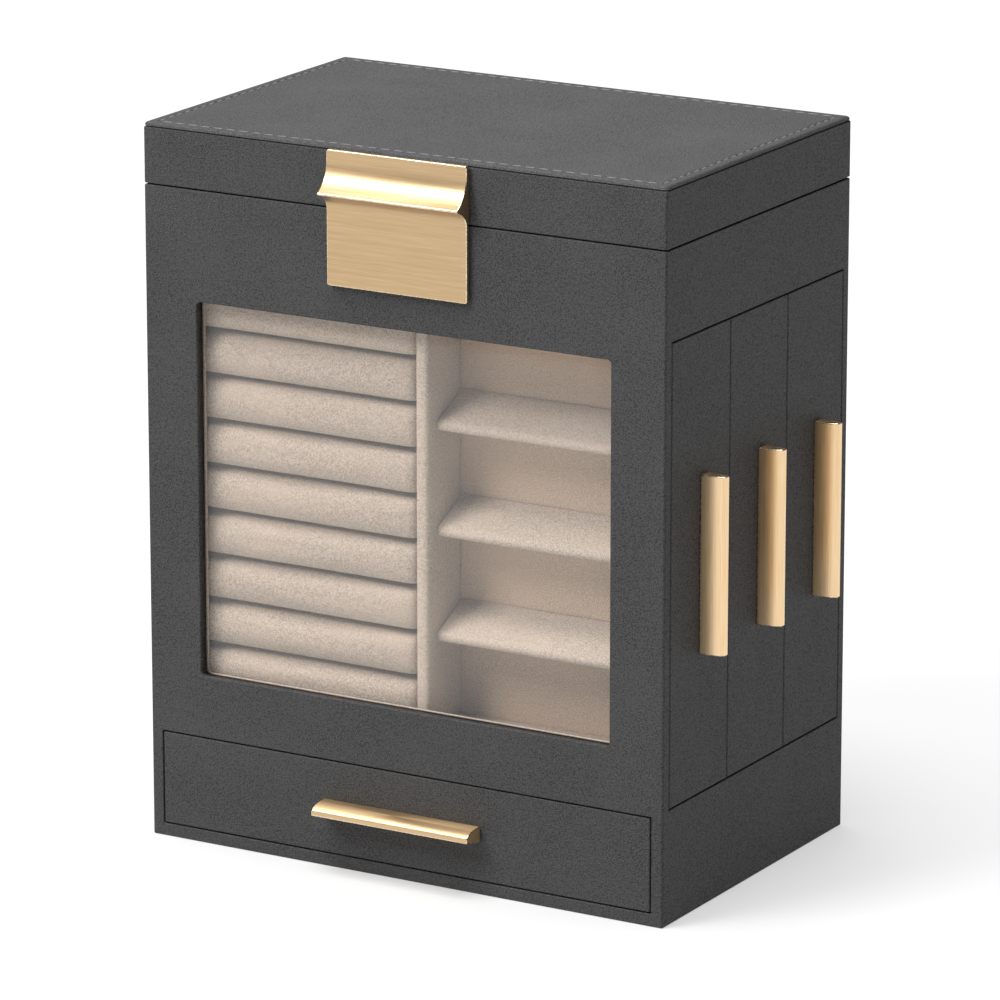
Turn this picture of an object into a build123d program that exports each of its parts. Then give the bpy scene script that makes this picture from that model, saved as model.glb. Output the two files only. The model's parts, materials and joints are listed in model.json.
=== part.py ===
"""Jewelry armoire: a leatherette cabinet with a hinged lid over a lined tray, a windowed front,
one drawer that opens to the front and three tall drawers that open to the right.

Millimetres. +Z is up, -Y is the front, +X is the side that the tall drawers open to.
The origin is on the ground, under the middle of the cabinet.
"""
from build123d import *
import os

os.makedirs("parts", exist_ok=True)

# ---------------------------------------------------------------- driving dimensions
# The cabinet as a whole.
WIDTH = 272.0
DEPTH = 174.0
HEIGHT = 340.0
BOARD = 5.0              # wrapped fibreboard of the walls, drawer faces and lid
CORNER_R = 1.2           # the wrapped vertical edges
REVEAL = 0.6             # dark line round every door, drawer face and lid
SLIDE_GAP = 0.5          # a drawer's box in its bay, each side
FELT_T = 1.0

# Levels, from the ground up. The tall bay takes whatever height the others leave.
BOTTOM_RAIL = 6.0        # below the front drawer
FRONT_BAY_H = 45.4
LOWER_DECK_T = 2.6
UPPER_DECK_T = 3.0
TRAY_H = 38.7            # from the upper deck to the top edge of the walls
LID_H = 28.5
FRONT_STILE = 6.0        # each side of the front drawer
SIDE_STILE = 5.5         # in front of and behind the tall drawers

# The window in the front.
WINDOW_MARGIN = 27.7     # cabinet side to window
WINDOW_SILL = 27.0       # tall bay floor to window
WINDOW_HEAD = 10.3       # window to tall bay ceiling
WINDOW_R = 2.0
GLASS_T = 1.5
GLASS_LAP = 4.0
GLASS_FRAME_W = 9.0
GLASS_FRAME_LIP = 1.0
GLASS_GAP = 0.1

# Lid.
PAD_T = 2.2
PAD_EDGE_R = 1.0
LID_LINING_T = 4.0
MIRROR_T = 2.5
MIRROR_MARGIN = 12.0
COLLAR_RISE = 6.0        # the tray's lining stands up inside the lid
COLLAR_GAP = 0.8

# Hinges.
HINGE_W = 34.0
HINGE_CENTRE = 78.0      # each side of the middle
LEAF_T = 1.2
LEAF_H = 13.0
KNUCKLE_R = 2.2
KNUCKLE_MID_W = 12.4
KNUCKLE_GAP = 0.3
KNUCKLE_CLEAR = 0.2
HINGE_PIN_R = 0.9
RUNNING = 0.05           # radial clearance of a pin or a screw
PIN_HEAD_R = 1.5
PIN_HEAD_T = 0.6
HINGE_SCREW_R = 1.1
HINGE_SCREW_HEAD_R = 2.0
HINGE_SCREW_HEAD_T = 0.9
HINGE_SCREW_LENGTH = 4.2
HINGE_SCREW_PITCH = 20.0

# Latch handle, on the lid and reaching down over the front.
LATCH_W = 73.0
LATCH_H = 62.5
LATCH_TOP = 1.5          # below the top of the lid
LATCH_T = 2.3
LATCH_OFF = 0.5          # stands off the front, on a pad against the lid
LATCH_PAD_H = 20.0
LATCH_PAD_INSET = 4.0
LATCH_LIP = 8.2          # how far the beak reaches out from the plate
LATCH_SLOPE_TOP = 4.5    # where the hollow slope starts, below the plate's top
LATCH_LIP_DROP = 18.6    # the beak's tip, below the plate's top
LATCH_LIP_T = 0.9
LATCH_SLOPE_END = 28.0   # where the hollow under the beak runs out
LATCH_EDGE = 0.4
MAGNET_R = 5.0
MAGNET_T = 2.0
MAGNET_RISE = 9.0        # above the latch handle's lower edge

# Bar pulls.
PULL_L = 83.0
PULL_OUT = 12.0
PULL_BASE = 7.8
PULL_EDGE = 0.35
PULL_SHIFT = 3.5         # a side pull's middle behind the middle of its drawer face
SCREW_R = 1.5
SCREW_HEAD_R = 2.8
SCREW_HEAD_T = 1.6
SCREW_BITE = 5.0
PULL_SCREW_PITCH = 64.0
PULL_SCREW_ACROSS = 3.0  # from the pull's curved side

# Drawer boxes.
TRAY_WALL = 5.0
FRONT_DRAWER_WALL = 3.0
FRONT_DRAWER_FLOOR = 2.5
FRONT_DRAWER_TOP_ROOM = 6.0
FRONT_DRAWER_BACK_ROOM = 4.0
DRAWER_END_ROOM = 3.0
PARTITION_T = 2.0
TRAY_SHELL_T = 4.0       # top and bottom boards of a tall drawer
PANEL_T = 2.5            # its upright back board

# Ring and earring drawer.
ROLLS = 9
ROLL_DEPTH = 30.0
ROLL_NOSE_R = 4.5
ROLL_SLOT = 0.9
PLINTH_H = 13.4
DIVIDER_X = 6.1
DIVIDER_T = 7.0
DIVIDER_EDGE_R = 2.0
SHELVES = 3
SHELF_TOP_ROOM = 38.7
SHELF_BOTTOM_ROOM = 55.0
SHELF_REACH = 22.0
SHELF_DROP = 10.5
SHELF_T = 5.5

# Necklace drawers.
HOOKS = 8
HOOK_BAR_H = 12.0
HOOK_BAR_T = 3.0
HOOK_BAR_TOP = 10.0
HOOK_R = 1.2
HOOK_ARM = 11.0
HOOK_TIP = 5.0
HOOK_MARGIN = 18.0

# Top tray.
LINER_T = 2.5
TRAY_DIVIDER_T = 5.0
TRAY_DIVIDER_TOP_ROOM = 8.0
TRAY_LONG_Y = 14.0
TRAY_SHORT_X = -44.0

# ---------------------------------------------------------------- places worked out from them
HALF_W = WIDTH / 2
HALF_D = DEPTH / 2
INNER_W = HALF_W - BOARD
INNER_D = HALF_D - BOARD
LID_Z = HEIGHT - LID_H
WALL_TOP = LID_Z - REVEAL
FRONT_BAY_TOP = BOTTOM_RAIL + FRONT_BAY_H
BAY_FLOOR = FRONT_BAY_TOP + LOWER_DECK_T
UPPER_DECK_TOP = WALL_TOP - TRAY_H
BAY_CEILING = UPPER_DECK_TOP - UPPER_DECK_T
BAY_HALF_D = HALF_D - SIDE_STILE
FACE_PITCH = 2 * BAY_HALF_D / 3
WINDOW_HALF_W = HALF_W - WINDOW_MARGIN
WINDOW_Z0 = BAY_FLOOR + WINDOW_SILL
WINDOW_Z1 = BAY_CEILING - WINDOW_HEAD
GLASS_BACK_Y = -INNER_D + GLASS_T
FRAME_BACK_Y = GLASS_BACK_Y + GLASS_FRAME_LIP + GLASS_GAP
PIN_Y = HALF_D + KNUCKLE_R + KNUCKLE_CLEAR
PIN_Z = LID_Z - REVEAL / 2
TRAY_X0 = -INNER_W + DRAWER_END_ROOM
TRAY_Z0 = BAY_FLOOR + SLIDE_GAP
TRAY_Z1 = BAY_CEILING - SLIDE_GAP


def block(x0, x1, y0, y1, z0, z1):
    """A box between two corners."""
    middle = Pos((x0 + x1) / 2, (y0 + y1) / 2, (z0 + z1) / 2)
    return middle * Box(x1 - x0, y1 - y0, z1 - z0)


def rod(radius, length, start, direction):
    """A round bar from a point, along a direction."""
    bar = Cylinder(radius, length, align=(Align.CENTER, Align.CENTER, Align.MIN))
    return Plane(origin=start, z_dir=direction) * bar


def along_x(outline, x0, x1):
    """A bar along X from a closed outline drawn in (y, z)."""
    return extrude(Plane.YZ.offset(x0) * make_face(outline), amount=x1 - x0)


def along_z(outline, z0, z1):
    """A post along Z from a closed outline drawn in (x, y)."""
    return extrude(Plane.XY.offset(z0) * make_face(outline), amount=z1 - z0)


def screw(seat, direction, shank_r, head_r, head_t, length):
    """A pan-head screw whose head bears on seat and whose shank runs along direction."""
    back = -Vector(*direction)
    body = rod(shank_r, length, seat, direction) + rod(head_r, head_t, seat, back)
    top = Vector(*seat) + back * head_t
    recess = Box(head_r * 1.2, head_r * 0.25, head_t) + Box(head_r * 0.25, head_r * 1.2, head_t)
    return body - Plane(origin=top, z_dir=back) * recess


def save(shape, name):
    export_step(shape, f"parts/{name}.step")


# ---------------------------------------------------------------- cabinet walls
def envelope(z0, z1):
    """The cabinet's outside, with its vertical edges rounded."""
    outside = block(-HALF_W, HALF_W, -HALF_D, HALF_D, z0, z1)
    return fillet(outside.edges().filter_by(Axis.Z), CORNER_R)


def front_slab(z0, z1):
    """The front wall, mitred into the side walls."""
    outline = Polyline((-HALF_W, -HALF_D), (HALF_W, -HALF_D), (INNER_W, -INNER_D),
                       (-INNER_W, -INNER_D), close=True)
    return along_z(outline, z0, z1)


def right_slab(z0, z1):
    """The right wall, mitred into the front and back walls."""
    outline = Polyline((HALF_W, -HALF_D), (HALF_W, HALF_D), (INNER_W, INNER_D),
                       (INNER_W, -INNER_D), close=True)
    return along_z(outline, z0, z1)


def window_cut():
    """The window's opening, with rounded corners."""
    cut = block(-WINDOW_HALF_W, WINDOW_HALF_W, -HALF_D - BOARD, -INNER_D + BOARD, WINDOW_Z0, WINDOW_Z1)
    return fillet(cut.edges().filter_by(Axis.Y), WINDOW_R)


def make_walls():
    outside = envelope(0, WALL_TOP)
    front = front_slab(0, WALL_TOP) & outside
    front -= window_cut()
    bay_half_w = HALF_W - FRONT_STILE
    front -= block(-bay_half_w, bay_half_w, -HALF_D - BOARD, 0, BOTTOM_RAIL, FRONT_BAY_TOP)
    magnet_seat = (0, -INNER_D, magnet_z())
    front -= rod(MAGNET_R + RUNNING, MAGNET_T + RUNNING, magnet_seat, (0, -1, 0))
    save(front, "front_panel")

    right = right_slab(0, WALL_TOP) & outside
    right -= block(0, WIDTH, -BAY_HALF_D, BAY_HALF_D, BAY_FLOOR, BAY_CEILING)
    save(right, "right_side_frame")
    save(mirror(right_slab(0, WALL_TOP) & outside, Plane.YZ), "left_side_panel")

    back = mirror(front_slab(0, WALL_TOP), Plane.XZ) & outside
    for seat in hinge_screw_seats(-1):
        back -= rod(HINGE_SCREW_R + RUNNING, HINGE_SCREW_LENGTH, seat, (0, -1, 0))
    save(back, "back_panel")

    save(rod(MAGNET_R, MAGNET_T, magnet_seat, (0, -1, 0)), "latch_magnet")
    save(block(-INNER_W, INNER_W, -INNER_D, INNER_D, FELT_T, BOTTOM_RAIL), "bottom_panel")
    save(block(-INNER_W, INNER_W, -INNER_D, INNER_D, 0, FELT_T), "base_felt")
    save(block(-INNER_W, INNER_W, -INNER_D, INNER_D, FRONT_BAY_TOP, BAY_FLOOR), "lower_deck")
    save(block(-INNER_W, INNER_W, -INNER_D, INNER_D, BAY_CEILING, UPPER_DECK_TOP), "upper_deck")
    for name, side in (("front", -1), ("rear", 1)):
        y = side * FACE_PITCH / 2
        partition = block(-INNER_W, INNER_W - REVEAL, y - PARTITION_T / 2, y + PARTITION_T / 2,
                          BAY_FLOOR, BAY_CEILING)
        save(partition, f"partition_{name}")


def make_window():
    """The glass lies against the back of the front wall, and a thin frame holds it there."""
    half_w = WINDOW_HALF_W + GLASS_LAP
    z0 = WINDOW_Z0 - GLASS_LAP
    z1 = WINDOW_Z1 + GLASS_LAP
    save(block(-half_w, half_w, -INNER_D, GLASS_BACK_Y, z0, z1), "window_glass")
    rim_half_w = WINDOW_HALF_W + GLASS_FRAME_W
    frame = block(-rim_half_w, rim_half_w, -INNER_D, FRAME_BACK_Y,
                  WINDOW_Z0 - GLASS_FRAME_W, WINDOW_Z1 + GLASS_FRAME_W)
    frame -= block(-half_w - GLASS_GAP, half_w + GLASS_GAP, -HALF_D, GLASS_BACK_Y + GLASS_GAP,
                   z0 - GLASS_GAP, z1 + GLASS_GAP)
    save(frame - window_cut(), "window_frame")


# ---------------------------------------------------------------- top tray
def make_top_tray():
    outer_x = INNER_W - COLLAR_GAP
    outer_y = INNER_D - COLLAR_GAP
    inner_x = outer_x - LINER_T
    inner_y = outer_y - LINER_T
    floor_top = UPPER_DECK_TOP + LINER_T
    liner = block(-outer_x, outer_x, -outer_y, outer_y, UPPER_DECK_TOP, LID_Z + COLLAR_RISE)
    liner -= block(-inner_x, inner_x, -inner_y, inner_y, floor_top, HEIGHT)
    save(liner, "tray_liner")
    divider_top = WALL_TOP - TRAY_DIVIDER_TOP_ROOM
    half_t = TRAY_DIVIDER_T / 2
    long_bar = block(-inner_x, inner_x, TRAY_LONG_Y - half_t, TRAY_LONG_Y + half_t,
                     floor_top, divider_top)
    save(round_top(long_bar, Axis.X), "tray_divider_long")
    short_bar = block(TRAY_SHORT_X - half_t, TRAY_SHORT_X + half_t, -inner_y, TRAY_LONG_Y - half_t,
                      floor_top, divider_top)
    save(round_top(short_bar, Axis.Y), "tray_divider_short")


def round_top(bar, axis):
    """Rounds the two long upper edges of a divider."""
    top = bar.faces().sort_by(Axis.Z)[-1]
    return fillet(top.edges().filter_by(axis), TRAY_DIVIDER_T * 0.4)


# ---------------------------------------------------------------- lid
def make_lid():
    rim_top = HEIGHT - PAD_T
    ring = envelope(LID_Z, rim_top) - block(-INNER_W, INNER_W, -INNER_D, INNER_D, 0, HEIGHT)
    for seat in latch_screw_seats():
        ring -= rod(SCREW_R + RUNNING, 2 * BOARD, seat, (0, -1, 0))
    for seat in hinge_screw_seats(1):
        ring -= rod(HINGE_SCREW_R + RUNNING, HINGE_SCREW_LENGTH, seat, (0, -1, 0))
    save(ring, "lid_frame")

    pad = envelope(rim_top, HEIGHT)
    rim = pad.faces().sort_by(Axis.Z)[-1]
    save(fillet(rim.edges(), PAD_EDGE_R), "lid_top_pad")

    lining_z = rim_top - LID_LINING_T
    save(block(-INNER_W, INNER_W, -INNER_D, INNER_D, lining_z, rim_top), "lid_lining_board")
    mirror_x = INNER_W - MIRROR_MARGIN
    mirror_y = INNER_D - MIRROR_MARGIN
    glass = block(-mirror_x, mirror_x, -mirror_y, mirror_y, lining_z - MIRROR_T, lining_z)
    save(glass, "lid_mirror")


def latch_top():
    return HEIGHT - LATCH_TOP


def magnet_z():
    return latch_top() - LATCH_H + MAGNET_RISE


def latch_screw_seats():
    z = latch_top() - LATCH_PAD_H / 2
    half = LATCH_W / 2 - 3 * LATCH_PAD_INSET
    return [(-half, -INNER_D, z), (half, -INNER_D, z)]


def make_latch():
    """A plate with a beak-shaped finger lip, bent forward across its middle."""
    top = latch_top()
    bottom = top - LATCH_H
    back = -HALF_D - LATCH_OFF
    face = back - LATCH_T
    start_z = top - LATCH_SLOPE_TOP
    lip_z = top - LATCH_LIP_DROP
    lip_under_z = lip_z - LATCH_LIP_T
    end_z = top - LATCH_SLOPE_END
    near = face - 0.20 * LATCH_LIP
    far = face - 0.45 * LATCH_LIP
    upper = LATCH_LIP_DROP - LATCH_SLOPE_TOP
    lower = LATCH_SLOPE_END - LATCH_LIP_DROP - LATCH_LIP_T
    rise = Spline((face, start_z), (near, start_z - 0.48 * upper), (far, start_z - 0.79 * upper),
                  (face - LATCH_LIP, lip_z), tangents=((0, -1), (-1, -0.35)))
    under = Spline((face - LATCH_LIP, lip_under_z), (far, lip_under_z - 0.25 * lower),
                   (near, lip_under_z - 0.68 * lower), (face, end_z),
                   tangents=((1, -0.3), (0.3, -1)))
    outline = Polyline((face, start_z), (face, top), (back, top), (back, bottom), (face, bottom),
                       (face, end_z))
    outline += rise + under
    outline += Line((face - LATCH_LIP, lip_z), (face - LATCH_LIP, lip_under_z))
    half_w = LATCH_W / 2
    handle = along_x(outline, -half_w, half_w)
    ends = [face for face in handle.faces() if abs(face.normal_at().X) > 0.99]
    lower = handle.edges().filter_by(Axis.X).sort_by(Axis.Z)[:2]
    handle = chamfer(list(ends[0].edges()) + list(ends[1].edges()) + list(lower), LATCH_EDGE)
    pad = block(-half_w + LATCH_PAD_INSET, half_w - LATCH_PAD_INSET, back, -HALF_D,
                top - LATCH_PAD_H, top - LATCH_TOP)
    handle += pad
    screws = []
    length = BOARD + LATCH_OFF + LATCH_T * 0.7
    for seat in latch_screw_seats():
        handle -= rod(SCREW_R + RUNNING, length + RUNNING, seat, (0, -1, 0))
        screws.append(screw(seat, (0, -1, 0), SCREW_R, SCREW_HEAD_R, SCREW_HEAD_T, length))
    save(handle, "latch_handle")
    save(Compound(children=screws), "latch_screws")


# ---------------------------------------------------------------- hinges
def hinge_screw_seats(side):
    """Screw heads bear on the leaves; side is -1 below the pin and 1 above it."""
    z = PIN_Z + side * (KNUCKLE_R + KNUCKLE_GAP + LEAF_H / 2)
    seats = []
    for centre in (-HINGE_CENTRE, HINGE_CENTRE):
        for step in (-HINGE_SCREW_PITCH / 2, HINGE_SCREW_PITCH / 2):
            seats.append((centre + step, HALF_D + LEAF_T, z))
    return seats


def hinge_leaf(centre, side):
    """A plate on the back, with the knuckles that are its own: outer below, middle above."""
    near = PIN_Z + side * (KNUCKLE_R + KNUCKLE_GAP)
    far = near + side * LEAF_H
    leaf = block(centre - HINGE_W / 2, centre + HINGE_W / 2, HALF_D, HALF_D + LEAF_T,
                 min(near, far), max(near, far))
    half_mid = KNUCKLE_MID_W / 2
    spans = [(-half_mid, half_mid)]
    if side < 0:
        inner = half_mid + KNUCKLE_GAP
        spans = [(-HINGE_W / 2, -inner), (inner, HINGE_W / 2)]
    for x0, x1 in spans:
        knuckle = rod(KNUCKLE_R, x1 - x0, (centre + x0, PIN_Y, PIN_Z), (1, 0, 0))
        tab = block(centre + x0, centre + x1, HALF_D + KNUCKLE_CLEAR, HALF_D + LEAF_T,
                    min(PIN_Z, near), max(PIN_Z, near))
        leaf += knuckle + tab
    leaf -= rod(HINGE_PIN_R + RUNNING, HINGE_W, (centre - HINGE_W / 2, PIN_Y, PIN_Z), (1, 0, 0))
    for x, y, z in hinge_screw_seats(side):
        if abs(x - centre) < HINGE_W / 2:
            leaf -= rod(HINGE_SCREW_R + RUNNING, 2 * LEAF_T, (x, y, z), (0, -1, 0))
    return leaf


def make_hinges():
    centres = (-HINGE_CENTRE, HINGE_CENTRE)
    for name, side in (("lower", -1), ("upper", 1)):
        save(Compound(children=[hinge_leaf(centre, side) for centre in centres]),
             f"hinge_{name}_leaves")
        screws = []
        for seat in hinge_screw_seats(side):
            screws.append(screw(seat, (0, -1, 0), HINGE_SCREW_R, HINGE_SCREW_HEAD_R,
                                HINGE_SCREW_HEAD_T, HINGE_SCREW_LENGTH))
        save(Compound(children=screws), f"hinge_{name}_screws")
    pins = []
    for centre in centres:
        start = centre - HINGE_W / 2 - RUNNING
        length = HINGE_W + 2 * RUNNING
        pin = rod(HINGE_PIN_R, length, (start, PIN_Y, PIN_Z), (1, 0, 0))
        pin += rod(PIN_HEAD_R, PIN_HEAD_T, (start, PIN_Y, PIN_Z), (-1, 0, 0))
        pin += rod(PIN_HEAD_R, PIN_HEAD_T, (start + length, PIN_Y, PIN_Z), (1, 0, 0))
        pins.append(pin)
    save(Compound(children=pins), "hinge_pins")


# ---------------------------------------------------------------- bar pulls
def pull_section(out_sign, place):
    """The pull's outline: one side swells out in a curve, the other is flat and slants back.

    place turns (out, across) into the two coordinates that the outline is drawn in."""
    base = [place(0, 0), place(0, PULL_BASE)]
    tip_flat = place(out_sign * PULL_OUT, PULL_BASE * 0.64)
    tip_round = place(out_sign * PULL_OUT * 0.985, PULL_BASE * 0.40)
    swell_start = place(out_sign * PULL_OUT * 0.40, 0)
    swell_mid = place(out_sign * PULL_OUT * 0.78, PULL_BASE * 0.13)
    outline = Polyline(swell_start, base[0], base[1], tip_flat, tip_round)
    return outline + Spline(tip_round, swell_mid, swell_start)


def finish_pull(bar, axis):
    """Takes the sharpness off both ends."""
    ends = bar.faces().filter_by(axis)
    edges = list(ends[0].edges()) + list(ends[-1].edges())
    return chamfer(edges, PULL_EDGE)


def pull_screws(seats, direction, boards):
    """Screws for a pull, and the room that they need in the boards and in the pull."""
    screws = []
    holes = []
    for seat in seats:
        length = boards + SCREW_BITE
        screws.append(screw(seat, direction, SCREW_R, SCREW_HEAD_R, SCREW_HEAD_T, length))
        back = -Vector(*direction)
        room = rod(SCREW_HEAD_R + RUNNING, SCREW_HEAD_T + RUNNING, seat, back)
        holes.append(rod(SCREW_R + RUNNING, length + RUNNING, seat, direction) + room)
    return Compound(children=screws), holes


# ---------------------------------------------------------------- front drawer
def make_front_drawer():
    face_half_w = HALF_W - FRONT_STILE - REVEAL
    face_z0 = BOTTOM_RAIL + REVEAL
    face_z1 = FRONT_BAY_TOP - REVEAL
    face = block(-face_half_w, face_half_w, -HALF_D, -INNER_D, face_z0, face_z1)

    half_w = face_half_w - SLIDE_GAP
    back_y = INNER_D - FRONT_DRAWER_BACK_ROOM
    z0 = BOTTOM_RAIL + SLIDE_GAP
    z1 = FRONT_BAY_TOP - FRONT_DRAWER_TOP_ROOM
    wall = FRONT_DRAWER_WALL
    tray = block(-half_w, half_w, -INNER_D, back_y, z0, z1)
    tray -= block(-half_w + wall, half_w - wall, -INNER_D + wall, back_y - wall,
                  z0 + FRONT_DRAWER_FLOOR, HEIGHT)

    pull_z = (face_z0 + face_z1) / 2 - PULL_BASE / 2
    outline = pull_section(-1, lambda out, across: (-HALF_D + out, pull_z + PULL_BASE - across))
    pull = finish_pull(along_x(outline, -PULL_L / 2, PULL_L / 2), Axis.X)
    screw_z = pull_z + PULL_BASE - PULL_SCREW_ACROSS
    seats = []
    for x in (-PULL_SCREW_PITCH / 2, PULL_SCREW_PITCH / 2):
        seats.append((x, -INNER_D + wall, screw_z))
    screws, holes = pull_screws(seats, (0, -1, 0), BOARD + wall)
    for hole in holes:
        face -= hole
        tray -= hole
        pull -= hole
    save(face, "front_drawer_face")
    save(tray, "front_drawer_tray")
    save(pull, "front_drawer_pull")
    save(screws, "front_drawer_screws")


# ---------------------------------------------------------------- tall drawers
def tall_tray_y(index):
    """Where the box of a tall drawer starts and ends in Y; 0 is behind the window."""
    centre = (index - 1) * FACE_PITCH
    y0 = centre - FACE_PITCH / 2 + PARTITION_T / 2 + SLIDE_GAP
    y1 = centre + FACE_PITCH / 2 - PARTITION_T / 2 - SLIDE_GAP
    if index == 0:
        y0 = FRAME_BACK_Y + SLIDE_GAP
    if index == 2:
        y1 = min(y1, INNER_D - SLIDE_GAP)
    return y0, y1


def tall_drawer(index, name, panel_y):
    """A drawer's face, pull, screws and open box, with an upright board across it at panel_y."""
    y0, y1 = tall_tray_y(index)
    centre = (index - 1) * FACE_PITCH
    face_y0 = centre - FACE_PITCH / 2 + REVEAL / 2
    face_y1 = centre + FACE_PITCH / 2 - REVEAL / 2
    if index == 0:
        face_y0 = -BAY_HALF_D + REVEAL
    if index == 2:
        face_y1 = BAY_HALF_D - REVEAL
    face = block(INNER_W, HALF_W, face_y0, face_y1, BAY_FLOOR + REVEAL, BAY_CEILING - REVEAL)

    tray = block(TRAY_X0, INNER_W, y0, y1, TRAY_Z0, TRAY_Z1)
    tray -= block(TRAY_X0 + TRAY_WALL, INNER_W - TRAY_WALL, y0 - BOARD, panel_y,
                  TRAY_Z0 + TRAY_SHELL_T, TRAY_Z1 - TRAY_SHELL_T)
    tray -= block(TRAY_X0 + TRAY_WALL, INNER_W - TRAY_WALL, panel_y + PANEL_T, y1 + BOARD,
                  TRAY_Z0 + TRAY_SHELL_T, TRAY_Z1 - TRAY_SHELL_T)

    pull_y = centre + PULL_SHIFT - PULL_BASE / 2
    outline = pull_section(1, lambda out, across: (HALF_W + out, pull_y + across))
    middle = (BAY_FLOOR + BAY_CEILING) / 2
    pull = finish_pull(along_z(outline, middle - PULL_L / 2, middle + PULL_L / 2), Axis.Z)
    seats = []
    for z in (middle - PULL_SCREW_PITCH / 2, middle + PULL_SCREW_PITCH / 2):
        seats.append((INNER_W - TRAY_WALL, pull_y + PULL_SCREW_ACROSS, z))
    screws, holes = pull_screws(seats, (1, 0, 0), BOARD + TRAY_WALL)
    for hole in holes:
        face -= hole
        tray -= hole
        pull -= hole
    save(face, f"{name}_face")
    save(tray, f"{name}_tray")
    save(pull, f"{name}_pull")
    save(screws, f"{name}_screws")


def make_ring_drawer():
    y0 = tall_tray_y(0)[0]
    panel_y = y0 + ROLL_DEPTH
    tall_drawer(0, "ring_drawer", panel_y)
    x0 = TRAY_X0 + TRAY_WALL
    x1 = INNER_W - TRAY_WALL
    floor = TRAY_Z0 + TRAY_SHELL_T
    ceiling = TRAY_Z1 - TRAY_SHELL_T
    plinth_top = floor + PLINTH_H
    save(block(x0, x1, y0, panel_y, floor, plinth_top), "ring_drawer_plinth")

    divider = block(DIVIDER_X - DIVIDER_T / 2, DIVIDER_X + DIVIDER_T / 2, y0, panel_y, plinth_top, ceiling)
    front_edges = divider.edges().filter_by(Axis.Z).sort_by(Axis.Y)[:2]
    save(fillet(front_edges, DIVIDER_EDGE_R), "ring_drawer_divider")

    pitch = (ceiling - plinth_top) / ROLLS
    for row in range(ROLLS):
        low = plinth_top + row * pitch + ROLL_SLOT / 2
        roll = block(x0, DIVIDER_X - DIVIDER_T / 2, y0, panel_y, low, low + pitch - ROLL_SLOT)
        nose = roll.edges().filter_by(Axis.X).group_by(Axis.Y)[0]
        save(fillet(nose, ROLL_NOSE_R), f"ring_roll_{row + 1}")

    first = ceiling - SHELF_TOP_ROOM
    step = (first - plinth_top - SHELF_BOTTOM_ROOM) / (SHELVES - 1)
    for row in range(SHELVES):
        save(earring_shelf(panel_y, first - row * step, x1), f"earring_shelf_{row + 1}")


def earring_shelf(panel_y, back_z, x1):
    """A shelf that slopes down to a round nose; studs stand in it and drops hang from its edge."""
    nose_y = panel_y - SHELF_REACH
    nose_z = back_z - SHELF_DROP
    along = Vector(-SHELF_REACH, -SHELF_DROP).normalized()
    downward = Vector(-along.Y, along.X)
    top_end = Vector(nose_y, nose_z)
    bottom_end = top_end + downward * SHELF_T
    tip = (top_end + bottom_end) / 2 + along * (SHELF_T / 2)
    fall = SHELF_T / abs(downward.Y)
    outline = Polyline((top_end.X, top_end.Y), (panel_y, back_z), (panel_y, back_z - fall),
                       (bottom_end.X, bottom_end.Y))
    outline += ThreePointArc((bottom_end.X, bottom_end.Y), (tip.X, tip.Y), (top_end.X, top_end.Y))
    return along_x(outline, DIVIDER_X + DIVIDER_T / 2, x1)


def make_necklace_drawer(index, name):
    """Necklaces hang from a bar of hooks in front of the drawer's upright back board."""
    panel_y = tall_tray_y(index)[1] - PANEL_T
    tall_drawer(index, name, panel_y)
    x0 = TRAY_X0 + TRAY_WALL
    x1 = INNER_W - TRAY_WALL
    bar_top = TRAY_Z1 - TRAY_SHELL_T - HOOK_BAR_TOP
    bar = block(x0, x1, panel_y - HOOK_BAR_T, panel_y, bar_top - HOOK_BAR_H, bar_top)
    pitch = (x1 - x0 - 2 * HOOK_MARGIN) / (HOOKS - 1)
    arm_z = bar_top - HOOK_BAR_H / 2
    tip_y = panel_y - HOOK_BAR_T - HOOK_ARM
    for hook in range(HOOKS):
        x = x0 + HOOK_MARGIN + hook * pitch
        bar += rod(HOOK_R, HOOK_ARM, (x, panel_y - HOOK_BAR_T, arm_z), (0, -1, 0))
        bar += rod(HOOK_R, HOOK_TIP, (x, tip_y, arm_z), (0, 0, 1))
        bar += Pos(x, tip_y, arm_z) * Sphere(HOOK_R)
        bar += Pos(x, tip_y, arm_z + HOOK_TIP) * Sphere(HOOK_R)
    save(bar, f"{name}_hook_bar")


make_walls()
make_window()
make_top_tray()
make_lid()
make_latch()
make_hinges()
make_front_drawer()
make_ring_drawer()
make_necklace_drawer(1, "middle_drawer")
make_necklace_drawer(2, "rear_drawer")
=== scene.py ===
# %% [markdown]
# # A jewelry armoire
# The cabinet is about 34 cm tall: boards wrapped in charcoal leatherette, champagne-gold
# handles, and a window onto a velvet-lined drawer of ring rolls and earring shelves. The packed
# model already holds every part at its true place, in metres, so this lesson only makes the
# surfaces: soft edges, stuffed velvet, stitches and finishes.

import json
import math
import random

import bmesh
import bpy
from mathutils import Matrix, Vector
from mathutils.geometry import interpolate_bezier

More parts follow.
